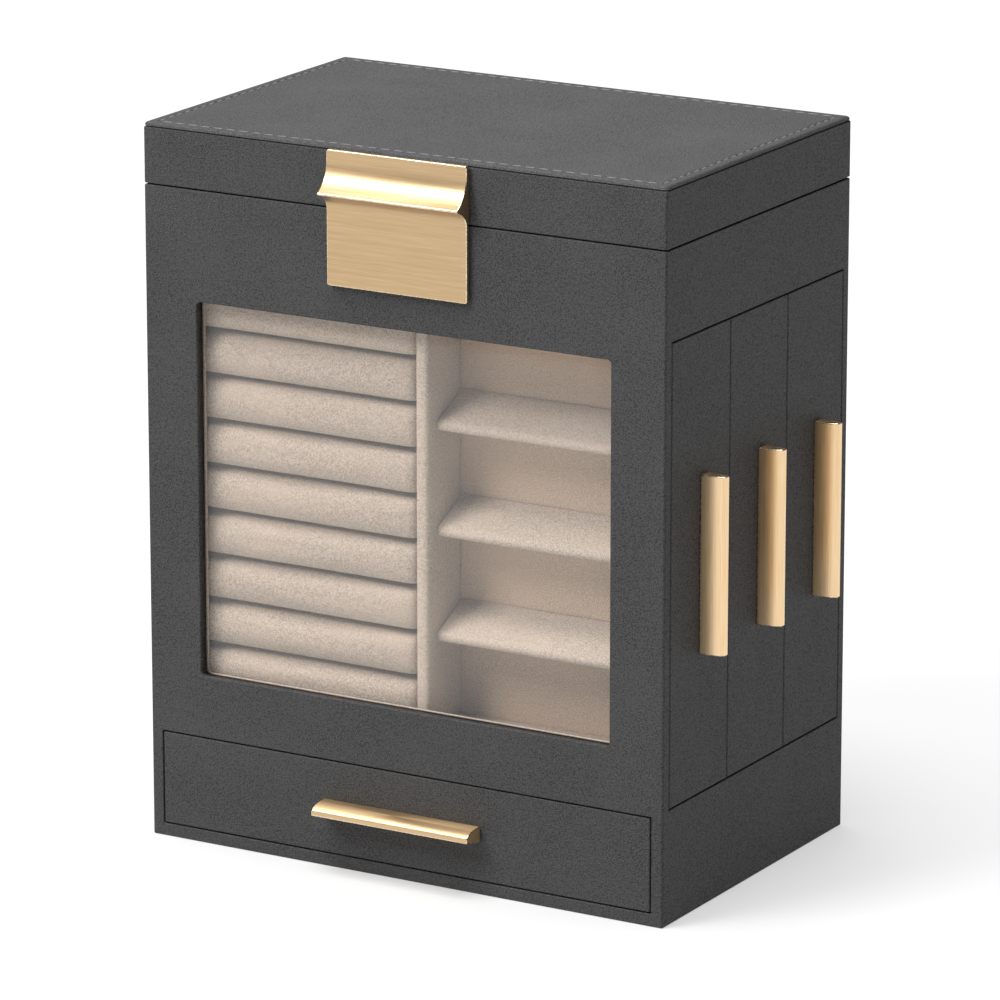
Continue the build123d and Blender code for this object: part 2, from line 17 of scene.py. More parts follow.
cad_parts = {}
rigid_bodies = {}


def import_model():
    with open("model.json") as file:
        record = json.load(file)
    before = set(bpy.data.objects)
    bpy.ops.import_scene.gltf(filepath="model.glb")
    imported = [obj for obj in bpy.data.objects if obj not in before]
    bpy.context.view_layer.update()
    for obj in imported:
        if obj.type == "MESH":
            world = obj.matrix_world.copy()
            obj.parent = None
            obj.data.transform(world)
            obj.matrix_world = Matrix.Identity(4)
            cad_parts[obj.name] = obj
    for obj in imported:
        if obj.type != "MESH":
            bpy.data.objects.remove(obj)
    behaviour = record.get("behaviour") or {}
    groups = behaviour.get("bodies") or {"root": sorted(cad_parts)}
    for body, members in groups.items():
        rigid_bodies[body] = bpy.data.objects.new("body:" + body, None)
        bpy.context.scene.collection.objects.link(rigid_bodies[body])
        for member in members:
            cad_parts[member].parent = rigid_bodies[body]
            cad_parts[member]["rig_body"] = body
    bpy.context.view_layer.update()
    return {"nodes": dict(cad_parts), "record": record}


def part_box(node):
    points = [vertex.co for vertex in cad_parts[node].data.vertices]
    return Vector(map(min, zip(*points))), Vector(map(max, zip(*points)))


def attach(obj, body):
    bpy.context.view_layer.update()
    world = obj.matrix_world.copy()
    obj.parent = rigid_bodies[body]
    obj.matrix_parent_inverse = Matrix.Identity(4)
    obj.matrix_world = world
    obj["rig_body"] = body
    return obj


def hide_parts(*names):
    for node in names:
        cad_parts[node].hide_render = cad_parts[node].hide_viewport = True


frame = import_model()
scene = bpy.context.scene
MM = 0.001
random.seed(31)

# %% [markdown]
# ## Where the eye stands
# A long lens far away keeps the upright edges nearly parallel, so the box keeps its true
# proportions. The camera stands to the front right and looks down a little.

# %% Camera
LENS_MM = 233.1
CAMERA_PLACE = (1.4592, -2.4933, 0.9512)
CAMERA_TURN = 30.32
CAMERA_DIP = 15.32

camera_data = bpy.data.cameras.new("camera")
camera_data.lens = LENS_MM
camera_data.clip_end = 60
camera = bpy.data.objects.new("camera", camera_data)
camera.location = CAMERA_PLACE
camera.rotation_euler = (math.radians(90 - CAMERA_DIP), 0, math.radians(CAMERA_TURN))
scene.collection.objects.link(camera)
scene.camera = camera
print("camera", [round(v, 3) for v in camera.location])

# %% [markdown]
# ## Floor and light
# A dark cabinet with metal handles needs a few lights. A softbox stands high to the left of the
# front: it models the handles and shades the top of the window. A weak card stands low beside
# it, for the latch handle's hollow to mirror. Light from overhead whitens the floor and the
# lid's top. A small glint from the right rear runs along the side pulls, and a sheen from the
# left rear lies on the lid. The sky is nearly off, so the right side stays the darkest, lit
# mostly by what the floor gives back.


# %% Lights
AIM = Vector((0, 0, 0.2))
SKY_STRENGTH = 0.03


def add_light(name, kind, place, energy, width):
    """A light that looks at the middle of the cabinet; width in metres, or degrees for a sun."""
    data = bpy.data.lights.new(name, kind)
    data.energy = energy
    if kind == "SUN":
        data.angle = math.radians(width)
    else:
        data.size = width
    light = bpy.data.objects.new(name, data)
    light.location = place
    light.rotation_euler = (Vector(place) - AIM).to_track_quat("Z", "Y").to_euler()
    scene.collection.objects.link(light)


add_light("softbox", "AREA", (-1.25, -1.9, 2.35), 78, 1.2)
add_light("front_card", "AREA", (-1.4, -2.6, 0.65), 6, 1.4)
add_light("overhead", "SUN", (-0.1, -0.3, 3.2), 5.1, 40)
add_light("side_glint", "AREA", (1.3, 2.0, 0.30), 1.6, 0.9)
add_light("back_sheen", "AREA", (-1.3, 1.8, 1.85), 10, 1.5)

world = bpy.data.worlds.new("pale_sky")
world.use_nodes = True
world.node_tree.nodes["Background"].inputs["Color"].default_value = (1.0, 1.0, 1.0, 1)
world.node_tree.nodes["Background"].inputs["Strength"].default_value = SKY_STRENGTH
scene.world = world
scene.view_settings.view_transform = "Standard"

# %% [markdown]
# ## Writing shaders as sums
# A finish is arithmetic on patterns. Wrapping a node's output in a small class lets `a * b + c`
# build the Math nodes, and one method adds every other kind of node.


# %% Shader maths
class Link:
    """An output of a node, which can be added, multiplied and so on."""

    def __init__(self, finish, socket):
        self.finish = finish
        self.socket = socket

    def maths(self, operation, *values):
        return self.finish.node("Math", {"operation": operation}, dict(enumerate(values)))

    def __add__(self, other):
        return self.maths("ADD", self, other)

    def __sub__(self, other):
        return self.maths("SUBTRACT", self, other)

    def __rsub__(self, other):
        return self.maths("SUBTRACT", other, self)

    def __mul__(self, other):
        return self.maths("MULTIPLY", self, other)

    __radd__ = __add__
    __rmul__ = __mul__


class Finish:
    """A material being made."""

    def __init__(self, name):
        self.material = bpy.data.materials.new(name)
        self.material.use_nodes = True
        self.tree = self.material.node_tree
        self.tree.nodes.clear()

    def node(self, kind, settings=(), values=(), output=0):
        """Adds a node: its settings first, then the values or links of its sockets."""
        made = self.tree.nodes.new("ShaderNode" + kind)
        for name, setting in dict(settings).items():
            setattr(made, name, setting)
        for key, value in dict(values).items():
            if isinstance(value, Link):
                self.tree.links.new(value.socket, made.inputs[key])
            else:
                made.inputs[key].default_value = value
        return Link(self, made.outputs[output])

    def place(self, scale=(1, 1, 1)):
        """Object coordinates, stretched."""
        where = self.node("TexCoord", output="Object")
        return self.node("Mapping", values={"Vector": where, "Scale": scale})

    def noise(self, where, scale, detail=2.0, rough=0.5):
        """Cloudy noise, its scale in clouds to a metre."""
        values = {"Vector": where, "Scale": scale, "Detail": detail, "Roughness": rough}
        return self.node("TexNoise", values=values)

    def spread(self, value, low, high):
        """Stretches a pattern between two levels to 0..1."""
        return self.node("MapRange", {"clamp": True}, {0: value, 1: low, 2: high})

    def blend_colours(self, factor, first, second):
        """The first colour where the factor is 0, the second where it is 1."""
        settings = {"data_type": "RGBA", "clamp_factor": True}
        return self.node("Mix", settings, {0: factor, 6: first, 7: second}, output=2)

    def relief(self, height, strength, depth):
        """The normal of a surface dented by a pattern, depth in metres."""
        values = {"Height": height, "Strength": strength, "Distance": depth}
        return self.node("Bump", values=values)

    def surface(self, values):
        """Ends the material with one Principled shader, and gives the material back."""
        shader = self.node("BsdfPrincipled", values=values)
        end = self.tree.nodes.new("ShaderNodeOutputMaterial")
        self.tree.links.new(shader.socket, end.inputs["Surface"])
        return self.material


print("shader maths ready")

# %% [markdown]
# ## Leatherette
# Wrapped boards wear a thin polyurethane skin embossed with a fine pebble, a little over half a
# millimetre across. A Voronoi pattern gives the pebbles: each cell is a low dome and the creases
# between are darker and duller. Warping its coordinates with noise keeps the cells from looking
# like tiles. Broad, faint clouds stand for handling and for the way the skin was glued: the skin
# is a little paler in them.

# %% Leatherette
PEBBLE_SIZE = 0.64 * MM
PEBBLE_WARP = 0.6 * MM
PEBBLE_DEPTH = 0.22 * MM
GREY_DOME = (0.076, 0.0755, 0.076, 1)
GREY_CREASE = (0.022, 0.022, 0.023, 1)
FADED = 1.16


def leatherette(name):
    f = Finish(name)
    where = f.place()
    warp = f.node("TexNoise", values={"Vector": where, "Scale": 900, "Detail": 1.0},
                  output="Color")
    moved = f.node("VectorMath", {"operation": "MULTIPLY_ADD"},
                   {0: warp, 1: (PEBBLE_WARP,) * 3, 2: where})
    cells = f.node("TexVoronoi", {"feature": "SMOOTH_F1"},
                   {"Vector": moved, "Scale": 1 / PEBBLE_SIZE, "Smoothness": 0.35})
    domes = 1 - f.spread(cells, 0.15, 0.75)
    fine = f.noise(where, 5200)
    clouds = f.noise(where, 26, detail=3.0)
    colour = f.blend_colours(f.spread(domes + 0.35 * fine, 0.15, 1.15), GREY_CREASE, GREY_DOME)
    faded = tuple(c * FADED for c in GREY_DOME[:3]) + (1,)
    colour = f.blend_colours(f.spread(clouds, 0.40, 0.80) * 0.22, colour, faded)
    return f.surface({"Base Color": colour, "Roughness": 0.60 - 0.13 * domes + 0.10 * clouds,
                      "Normal": f.relief(domes + 0.30 * fine, 0.7, PEBBLE_DEPTH),
                      "Specular IOR Level": 0.22})


LEATHERETTE = leatherette("charcoal_leatherette")
print(LEATHERETTE.name, len(LEATHERETTE.node_tree.nodes), "nodes")

# %% [markdown]
# ## Velvet
# Short beige pile glued over foam and board. Pile does three things: it glows at grazing angles,
# which is the sheen; it lies this way and that, which gives soft, warmer patches; and single
# tufts catch shadow, which gives flecks. The rolls wear a darker copy of the velvet, which is
# painted shade; the ring drawer's box is lined in a browner copy, which paints the deeper, brown
# shade inside the box.

# %% Velvet
PILE_LIGHT = (0.580, 0.478, 0.392, 1)
PILE_DARK = (0.210, 0.155, 0.112, 1)
# Painted shade: a darker copy of the pile's colours, for the ring rolls.
SHADED_ROLL_LIGHT = (0.530, 0.432, 0.350, 1)
SHADED_ROLL_DARK = (0.175, 0.122, 0.084, 1)
# Painted shade: a browner copy of the pile's colours for the ring drawer's box, for the brown,
# bounced shade inside it.
SHADED_BOX_LIGHT = (0.600, 0.450, 0.330, 1)
SHADED_BOX_DARK = (0.330, 0.232, 0.158, 1)
PATCH_TINT = (0.90, 0.87, 0.84)
SHEEN_TINT = (1.0, 0.93, 0.85, 1)
PILE_DEPTH = 0.35 * MM


def velvet(name, light, dark):
    f = Finish(name)
    where = f.place()
    tufts = f.noise(where, 1700, detail=3.0, rough=0.65)
    flecks = f.noise(where, 1250, rough=0.55)
    lie = f.noise(where, 34)
    specks = f.noise(where, 2700, detail=1.0)
    shade = (0.35 * f.spread(tufts, 0.36, 0.60) + 0.38 * f.spread(flecks, 0.38, 0.58)
             + 0.27 * f.spread(specks, 0.30, 0.46))
    colour = f.blend_colours(shade, dark, light)
    warm = tuple(c * tint for c, tint in zip(light, PATCH_TINT)) + (1,)
    colour = f.blend_colours(f.spread(lie, 0.45, 0.72) * 0.5, colour, warm)
    return f.surface({"Base Color": colour, "Roughness": 0.94,
                      "Normal": f.relief(tufts + 0.4 * flecks, 0.7, PILE_DEPTH),
                      "Sheen Weight": 0.22, "Sheen Roughness": 0.42, "Sheen Tint": SHEEN_TINT,
                      "Specular IOR Level": 0.15})


VELVET = velvet("beige_velvet", PILE_LIGHT, PILE_DARK)
ROLL_VELVET_PAINTED_SHADE = velvet("roll_velvet_painted_shade", SHADED_ROLL_LIGHT, SHADED_ROLL_DARK)
BOX_VELVET_PAINTED_SHADE = velvet("box_velvet_painted_shade", SHADED_BOX_LIGHT, SHADED_BOX_DARK)
print("velvets:", VELVET.name, ROLL_VELVET_PAINTED_SHADE.name, BOX_VELVET_PAINTED_SHADE.name)

# %% [markdown]
# ## Champagne gold
# The handles are extruded aluminium, brushed along their length and anodised. Brushing is noise
# stretched very far one way: it nudges the roughness, the colour and the surface. Each handle
# needs the streaks along its own length, so the stretch is a parameter. The anodised skin is a
# rough, clear coat. Edges are cut after the brushing, so they are smoother than the flats; their
# pale colour is partly the bright cut metal and partly a painted highlight. The latch handle has
# the plain gold. The front pull wears a paler copy, which is painted light, and is duller; the
# tall drawers' pulls wear the palest copy, painted light too. The hinges' plating has no streaks
# and hardly any relief.

# %% Champagne gold
GOLD = (0.56, 0.397, 0.222, 1)
GOLD_DEEP = (0.44, 0.298, 0.149, 1)
# Partly painted highlight: the pale gold of the cut edges.
GOLD_CUT_AND_HIGHLIGHT = (0.90, 0.76, 0.56, 1)
# Painted light: a paler copy of the gold, for the front pull.
GOLD_PAINTED_LIT = (0.73, 0.52, 0.30, 1)
GOLD_PAINTED_LIT_DEEP = (0.60, 0.41, 0.215, 1)
# Painted light: the palest copy of the gold, for the tall drawers' pulls.
GOLD_PAINTED_BRIGHT = (0.98, 0.74, 0.46, 1)
GOLD_PAINTED_BRIGHT_DEEP = (0.82, 0.55, 0.28, 1)
BRUSH_DEPTH = 0.05 * MM
ALONG = 45
ACROSS = 4200
EVEN = 900


def champagne(name, stretch, rough=0.36, light=GOLD, deep=GOLD_DEEP, relief=0.5):
    f = Finish(name)
    streaks = f.noise(f.place(stretch), 1.0, detail=4.0, rough=0.62)
    wide = f.noise(f.place(tuple(s * 0.16 for s in stretch)), 1.0)
    colour = f.blend_colours(f.spread(0.75 * streaks + 0.25 * wide, 0.36, 0.62), deep, light)
    return f.surface({"Base Color": colour, "Metallic": 1.0,
                      "Roughness": rough - 0.07 + 0.20 * streaks,
                      "Normal": f.relief(streaks, relief, BRUSH_DEPTH), "Anisotropic": 0.35,
                      "Coat Weight": 0.5, "Coat Roughness": 0.25})


GOLD_ALONG_X = champagne("champagne_gold_along_x", (ALONG, ACROSS, ACROSS))
GOLD_ALONG_Z = champagne("champagne_gold_upright_painted_light", (ACROSS, ACROSS, ALONG), rough=0.32,
                         light=GOLD_PAINTED_BRIGHT, deep=GOLD_PAINTED_BRIGHT_DEEP)
GOLD_SATIN_X = champagne("champagne_gold_satin_painted_light", (ALONG, ACROSS, ACROSS), rough=0.46,
                         light=GOLD_PAINTED_LIT, deep=GOLD_PAINTED_LIT_DEEP)
BRASS_PLATE = champagne("plated_hardware", (EVEN, EVEN, EVEN), rough=0.26, relief=0.06)
CUT_EDGE_AND_HIGHLIGHT = champagne("cut_edge_painted_highlight", (EVEN, EVEN, EVEN), rough=0.24, light=GOLD_CUT_AND_HIGHLIGHT,
                     deep=GOLD, relief=0.06)
print("gold finishes:", [m.name for m in (GOLD_ALONG_X, GOLD_ALONG_Z, GOLD_SATIN_X,
                                          BRASS_PLATE, CUT_EDGE_AND_HIGHLIGHT)])

# %% [markdown]
# ## Glass, mirror, felt, thread and magnet
# The window is thin enough to see straight through, so it is mostly clear with a little gloss
# instead of a solid of refracting glass, which would darken the velvet behind it. The mirror is
# a smooth metal. Felt is fine noise with a sheen, thread a twisted wave, and the magnet dull
# nickel. The floor gives off a little light of its own, which keeps it white.


# %% Small finishes
def window_glass():
    f = Finish("clear_glass")
    smudge = f.noise(f.place(), 22, detail=3.0)
    return f.surface({"Base Color": (0.95, 0.97, 0.97, 1), "Alpha": 0.05,
                      "Roughness": 0.02 + 0.05 * f.spread(smudge, 0.5, 0.8), "IOR": 1.5})


def mirror_glass():
    f = Finish("silvered_mirror")
    haze = f.noise(f.place(), 14, detail=3.0)
    return f.surface({"Base Color": (0.90, 0.92, 0.92, 1), "Metallic": 1.0,
                      "Roughness": 0.01 + 0.03 * f.spread(haze, 0.5, 0.8)})


def felt():
    f = Finish("black_felt")
    fibres = f.noise(f.place(), 2400, detail=4.0, rough=0.7)
    colour = f.blend_colours(f.spread(fibres, 0.3, 0.7), (0.010, 0.010, 0.011, 1),
                             (0.045, 0.045, 0.048, 1))
    return f.surface({"Base Color": colour, "Roughness": 0.95, "Sheen Weight": 0.3,
                      "Normal": f.relief(fibres, 0.6, 0.2 * MM)})


def thread():
    f = Finish("charcoal_thread")
    twist = f.node("TexWave", {"bands_direction": "DIAGONAL"},
                   {"Vector": f.place(), "Scale": 900, "Distortion": 1.0})
    colour = f.blend_colours(twist, (0.070, 0.070, 0.073, 1), (0.20, 0.20, 0.205, 1))
    return f.surface({"Base Color": colour, "Roughness": 0.6, "Sheen Weight": 0.3,
                      "Normal": f.relief(twist, 0.5, 0.05 * MM)})


def magnet():
    f = Finish("nickel_magnet")
    grain = f.noise(f.place(), 700, detail=3.0)
    return f.surface({"Base Color": (0.45, 0.45, 0.46, 1), "Metallic": 1.0,
                      "Roughness": 0.30 + 0.2 * grain})


def floor_finish():
    f = Finish("pale_floor")
    clouds = f.noise(f.place(), 1.5)
    colour = f.blend_colours(clouds, (0.30, 0.30, 0.30, 1), (0.32, 0.32, 0.32, 1))
    return f.surface({"Base Color": colour, "Roughness": 0.75,
                      "Emission Color": (1, 1, 1, 1), "Emission Strength": 0.41})


WINDOW_GLASS = window_glass()
MIRROR = mirror_glass()
FELT = felt()
THREAD = thread()
MAGNET = magnet()
print("materials:", len(bpy.data.materials))

# %% [markdown]
# ## From a bmesh to a piece
# Every new piece takes the same last steps: the mesh gets its finish, the piece rides on its
# body, and the imported nodes it stands for are hidden. Weighted normals keep broad flats flat
# next to their rounded edges. The imported meshes are loose triangles, so a copy of one is welded
# at its corners before it is worked on.


# %% Making pieces
WELD = 0.002 * MM
FLOOR_HALF = 30
FLOOR_GAP = 0.05 * MM


def to_object(bm, name, smooth=True):
    """Ends a bmesh as an object of the scene."""
    mesh = bpy.data.meshes.new(name)
    bm.to_mesh(mesh)
    bm.free()
    if smooth:
        mesh.shade_smooth()
    obj = bpy.data.objects.new(name, mesh)
    scene.collection.objects.link(obj)
    return obj


def dress(obj, material, body, slot, *nodes):
    """Gives a piece its finish and its place among the parts."""
    obj.data.materials.append(material)
    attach(obj, body)
    if nodes:
        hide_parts(*nodes)
    return obj


def even_shading(obj):
    """Turns the shading normals towards the larger faces."""
    weighted = obj.modifiers.new("even_shading", "WEIGHTED_NORMAL")
    weighted.mode = "FACE_AREA"
    weighted.keep_sharp = True
    return obj


def body_of_node(node):
    return frame["nodes"][node]["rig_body"]


def welded_copy(node):
    """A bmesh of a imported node, its triangles joined at their corners."""
    bm = bmesh.new()
    bm.from_mesh(frame["nodes"][node].data)
    bmesh.ops.remove_doubles(bm, verts=bm.verts, dist=WELD)
    return bm


def block_between(lo, hi):
    """A bmesh of a plain block between two opposite corners."""
    bm = bmesh.new()
    bmesh.ops.create_cube(bm, size=1)
    place = Matrix.Translation((lo + hi) / 2) @ Matrix.Diagonal((*(hi - lo), 1))
    bmesh.ops.transform(bm, matrix=place, verts=bm.verts)
    return bm


floor_bm = bmesh.new()
bmesh.ops.create_grid(floor_bm, x_segments=1, y_segments=1, size=FLOOR_HALF)
floor = to_object(floor_bm, "floor", smooth=False)
floor.data.materials.append(floor_finish())
floor.location.z = -FLOOR_GAP
print("floor laid")

# %% [markdown]
# ## Softening the wrapped boards
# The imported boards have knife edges. A wrapped board has none: the skin turns each edge with a
# radius of half a millimetre or so, and that radius is what draws a thin bright line along every
# gap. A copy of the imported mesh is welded, its flat triangles are joined into whole faces, and
# the sharp edges are bevelled. Walls meet at a mitre under one skin, so the mitre's own edges
# are left alone, and so are the edges on a board's inner side, which nothing shows. A bevel
# normally stops where two of its edges would meet; round the window's corner arcs that would
# stop it too soon, so walls and faces are rounded without that clamp.

# %% Soft edges
HALF_W, HALF_D = (round(v, 4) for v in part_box("lid_top_pad")[1][:2])
SHARP = math.radians(30)
FLAT = math.radians(0.5)
BOARD_EDGE_R = 0.6 * MM
LID_EDGE_R = 0.7 * MM
SKIN_DEPTH = 4.9 * MM
MITRE_REACH = 5.5 * MM
ON_LINE = 0.05 * MM


def off_mitre(vert):
    """How far a point is from the slanting joint between two walls."""
    return abs((HALF_W - abs(vert.co.x)) - (HALF_D - abs(vert.co.y))) / math.sqrt(2)


def on_mitre(edge):
    """Whether an edge lies in the slanting joint between two walls."""
    return all(off_mitre(v) < ON_LINE and HALF_W - abs(v.co.x) < MITRE_REACH
               for v in edge.verts)


def on_back(vert):
    """Whether a point lies on the inner side of a wall or a face."""
    return min(HALF_W - abs(vert.co.x), HALF_D - abs(vert.co.y)) > SKIN_DEPTH


def stays_sharp(edge):
    return on_mitre(edge) or all(on_back(v) for v in edge.verts)


def whole_faces(node):
    """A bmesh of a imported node, with its triangles joined into whole flat faces."""
    bm = welded_copy(node)
    bmesh.ops.dissolve_limit(bm, angle_limit=FLAT, verts=bm.verts, edges=bm.edges,
                             use_dissolve_boundaries=False)
    return bm


def round_edges(bm, radius, segments=3, leave=lambda edge: False, finish=0, clamp=True):
    """Rounds the sharp edges; finish is the material slot of the faces this makes."""
    sharp = [e for e in bm.edges
             if e.is_manifold and e.calc_face_angle() > SHARP and not leave(e)]
    rounds = bmesh.ops.bevel(bm, geom=sharp, offset=radius, offset_type="OFFSET", affect="EDGES",
                             segments=segments, profile=0.5, material=-1, clamp_overlap=clamp)
    for face in rounds["faces"]:
        face.material_index = finish
    return bm


def soft_board(node, name, material, slot, radius, segments=3, leave=lambda edge: False,
               clamp=True):
    """A packed board with rounded edges, dressed and shaded."""
    bm = round_edges(whole_faces(node), radius, segments, leave, clamp=clamp)
    board = dress(to_object(bm, name), material, body_of_node(node), slot, node)
    return even_shading(board)


WALLS = {"front_panel": "front_wall", "right_side_frame": "right_wall",
         "left_side_panel": "left_wall", "back_panel": "back_wall", "lid_frame": "lid_rim"}
FACES = {f"{drawer}_face": f"{drawer}_face_wrapped"
         for drawer in ("front_drawer", "ring_drawer", "middle_drawer", "rear_drawer")}
for node, name in (WALLS | FACES).items():
    turn = LID_EDGE_R if node == "lid_frame" else BOARD_EDGE_R
    board = soft_board(node, name, LEATHERETTE, "leatherette", turn, segments=4,
                       leave=stays_sharp, clamp=False)
    print(name, len(board.data.polygons), "faces")

# %% [markdown]
# ## The padded lid top
# A thin foam pad under the same leatherette. Its top is one grid whose lines crowd together
# where the shape needs them: over the rolled rim and across the sewn channel. Each point sinks
# by a rule that only asks how far it is from the edge, and the middle stands a hair higher than
# the rim. The rim then drops down the sides and tucks under, so that a dark line shows where the
# pad meets the lid.

# %% Lid top
PAD_CORNER_R = 2.4 * MM
STITCH_INSET = 5.2 * MM
CHANNEL_HALF = 0.55 * MM
CHANNEL_DEPTH = 0.55 * MM
TOP_RIM_R = 1.5 * MM
RIM_FOOT = 0.7 * MM
RIM_TURN = 0.2 * MM
TUCK = 0.8 * MM
CROWN = 0.15 * MM
CROWN_REACH = 18 * MM
# Distances of the grid's lines from an edge of the lid, in millimetres.
LINES_IN = [0, 0.06, 0.2, 0.42, 0.75, 1.2, 1.8, 2.6, 3.8, 4.4, 4.7, 4.95, 5.2, 5.45, 5.7, 6.0,
            6.6, 8.5, 12, 20, 35]

pad_lo, pad_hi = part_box("lid_top_pad")


def crowded_lines(half):
    """Places of grid lines across a width, crowded near both edges."""
    near = [d * MM for d in LINES_IN]
    middle = [half - (half - near[-1]) * k / 3 for k in (2, 1, 0)]
    left = [-half + d for d in near] + [-half + m for m in middle]
    return left + [-x for x in reversed(left[:-1])]


def sink(d):
    """How far below the top a point lies that is d from the edge."""
    over_rim = max(0, TOP_RIM_R - d)
    rim = TOP_RIM_R - math.sqrt(TOP_RIM_R ** 2 - over_rim ** 2)
    channel = CHANNEL_DEPTH * math.exp(-((d - STITCH_INSET) / CHANNEL_HALF) ** 2)
    return rim + channel + CROWN * math.exp(-d / CROWN_REACH)


def rounded_plan(x, y):
    """Moves a point near a square corner onto the rounded corner."""
    a = abs(x) - (HALF_W - PAD_CORNER_R)
    b = abs(y) - (HALF_D - PAD_CORNER_R)
    if a <= 0 or b <= 0:
        return x, y
    shrink = max(a, b) / math.hypot(a, b)
    return (math.copysign(HALF_W - PAD_CORNER_R + a * shrink, x),
            math.copysign(HALF_D - PAD_CORNER_R + b * shrink, y))


lines_x = crowded_lines(HALF_W)
lines_y = crowded_lines(HALF_D)
pad_bm = bmesh.new()
bmesh.ops.create_grid(pad_bm, x_segments=len(lines_x) - 1, y_segments=len(lines_y) - 1, size=0.5)
for v in pad_bm.verts:
    x = lines_x[round((v.co.x + 0.5) * (len(lines_x) - 1))]
    y = lines_y[round((v.co.y + 0.5) * (len(lines_y) - 1))]
    from_edge = min(HALF_W - abs(x), HALF_D - abs(y))
    v.co = (*rounded_plan(x, y), pad_hi.z - sink(from_edge))


def drop_rim(bm, z, inward):
    """Extrudes the open rim of a sheet down to a level, and moves it inward."""
    rim_now = [e for e in bm.edges if e.is_boundary]
    grown = bmesh.ops.extrude_edge_only(bm, edges=rim_now)
    for v in grown["geom"]:
        if isinstance(v, bmesh.types.BMVert):
            v.co = (v.co.x * (1 - inward / HALF_W), v.co.y * (1 - inward / HALF_D), z)


drop_rim(pad_bm, pad_lo.z + RIM_FOOT, 0)
drop_rim(pad_bm, pad_lo.z + RIM_TURN, TUCK * 0.45)
drop_rim(pad_bm, pad_lo.z, TUCK)
bmesh.ops.holes_fill(pad_bm, edges=[e for e in pad_bm.edges if e.is_boundary], sides=0)
bmesh.ops.recalc_face_normals(pad_bm, faces=pad_bm.faces)
lid_top = dress(to_object(pad_bm, "lid_top_cover"), LEATHERETTE, "lid", "leatherette",
                "lid_top_pad")
print("lid top", [round(s * 1000, 1) for s in lid_top.dimensions], "mm")

# %% [markdown]
# ## Stitches
# A lockstitch is a row of short, slightly slanted bars of thread, each sinking at its ends. One
# small sphere, stretched to a stitch, is enough; it is set down again and again along the
# channel, just under seven millimetres apart. Each one turns and shifts by a hair, because a
# sewing machine's stitches do too.

# %% Stitches
STITCH_LENGTH = 5.2 * MM
STITCH_STEP = 6.8 * MM
STITCH_THICK = 0.72 * MM
STITCH_SLANT = math.radians(5)
STITCH_TURN = 0.03
STITCH_SHIFT = 0.05 * MM
STITCH_AROUND = 8
STITCH_RINGS = 5


def add_stitch(bm, centre, angle):
    made = bmesh.ops.create_uvsphere(bm, u_segments=STITCH_AROUND, v_segments=STITCH_RINGS,
                                     radius=0.5)
    shape = Matrix.Diagonal((STITCH_LENGTH, STITCH_THICK, STITCH_THICK * 0.8, 1))
    slant = STITCH_SLANT + random.uniform(-STITCH_TURN, STITCH_TURN)
    turn = Matrix.Rotation(angle + slant, 4, "Z")
    bmesh.ops.transform(bm, matrix=Matrix.Translation(centre) @ turn @ shape,
                        verts=made["verts"])


stitch_bm = bmesh.new()
run_x = HALF_W - STITCH_INSET
run_y = HALF_D - STITCH_INSET
stitch_z = pad_hi.z - CHANNEL_DEPTH * 0.62
for half, other, angle in ((run_x, run_y, 0), (run_y, run_x, math.pi / 2)):
    count = int(2 * half / STITCH_STEP)
    for side in (-1, 1):
        for i in range(count):
            along = (i - (count - 1) / 2) * STITCH_STEP
            across = side * other + random.uniform(-STITCH_SHIFT, STITCH_SHIFT)
            spot = (along, across) if angle == 0 else (across, along)
            add_stitch(stitch_bm, (*spot, stitch_z), angle)
stitches = dress(to_object(stitch_bm, "lid_top_stitches"), THREAD, "lid", "leatherette")
print("stitches:", len(stitches.data.polygons) // (STITCH_AROUND * STITCH_RINGS))

# %% [markdown]
# ## Bars from an outline
# Both kinds of handle are extrusions: one outline, drawn once and pulled along the handle. The
# curved stretches of the outline come from Bezier curves, so a handful of points is enough.
# After the pull, every sharp edge gets a small round, because bright rounded edges are what
# makes metal look machined.


# %% Extruding an outline
def bend(start, first, second, end, steps=14):
    """Points on a Bezier curve from start to end, which leaves towards first and arrives
    from second; the start itself is left out."""
    knots = [Vector((p[0], p[1], 0)) for p in (start, first, second, end)]
    return [(p.x, p.y) for p in interpolate_bezier(*knots, steps)][1:]


def pull_outline(points, to_start, run):
    """Draws a closed outline, places its points with to_start, and pulls it along run."""
    bm = bmesh.new()
    face = bm.faces.new([bm.verts.new(to_start(*p)) for p in points])
    grown = bmesh.ops.extrude_face_region(bm, geom=[face])
    far = [v for v in grown["geom"] if isinstance(v, bmesh.types.BMVert)]
    bmesh.ops.translate(bm, vec=run, verts=far)
    bmesh.ops.recalc_face_normals(bm, faces=bm.faces)
    return bm


print("outline tools ready")

# %% [markdown]
# ## The latch handle
# A plate screwed to the lid that reaches down over the front, where a magnet holds it. Across
# its middle it swells into a beak for a fingertip: a long hollow slope on top, a short hollow
# one beneath. The four corners of the plate are rounded first, then every edge.

# %% Latch handle
PLATE_T = 2.3 * MM
LATCH_OFF = 0.5 * MM
PLATE_CORNER_R = 1.1 * MM
METAL_EDGE_R = 0.45 * MM
# Down the plate, from its top: where the top slope leaves the plate, how far it clings, where it
# lifts off, and the beak's upper edge. Then the same for the slope beneath, from below.
SLOPE_START, TOP_CLINGS, TOP_LIFTS, BEAK_TOP = (d * MM for d in (4.5, 11.0, 16.2, 18.6))
SLOPE_END, UNDER_CLINGS, UNDER_LIFTS, BEAK_UNDER = (d * MM for d in (28.0, 23.2, 21.6, 19.5))
LIFT_OUT = 3.6 * MM

latch_lo, latch_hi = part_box("latch_handle")
plate_back = -HALF_D - LATCH_OFF
plate_face = plate_back - PLATE_T
beak_out = plate_face - latch_lo.y
top_z = latch_hi.z


def out_down(out, down):
    """A point of the outline: how far out from the plate's face, how far below its top."""
    return (plate_face - out, top_z - down)


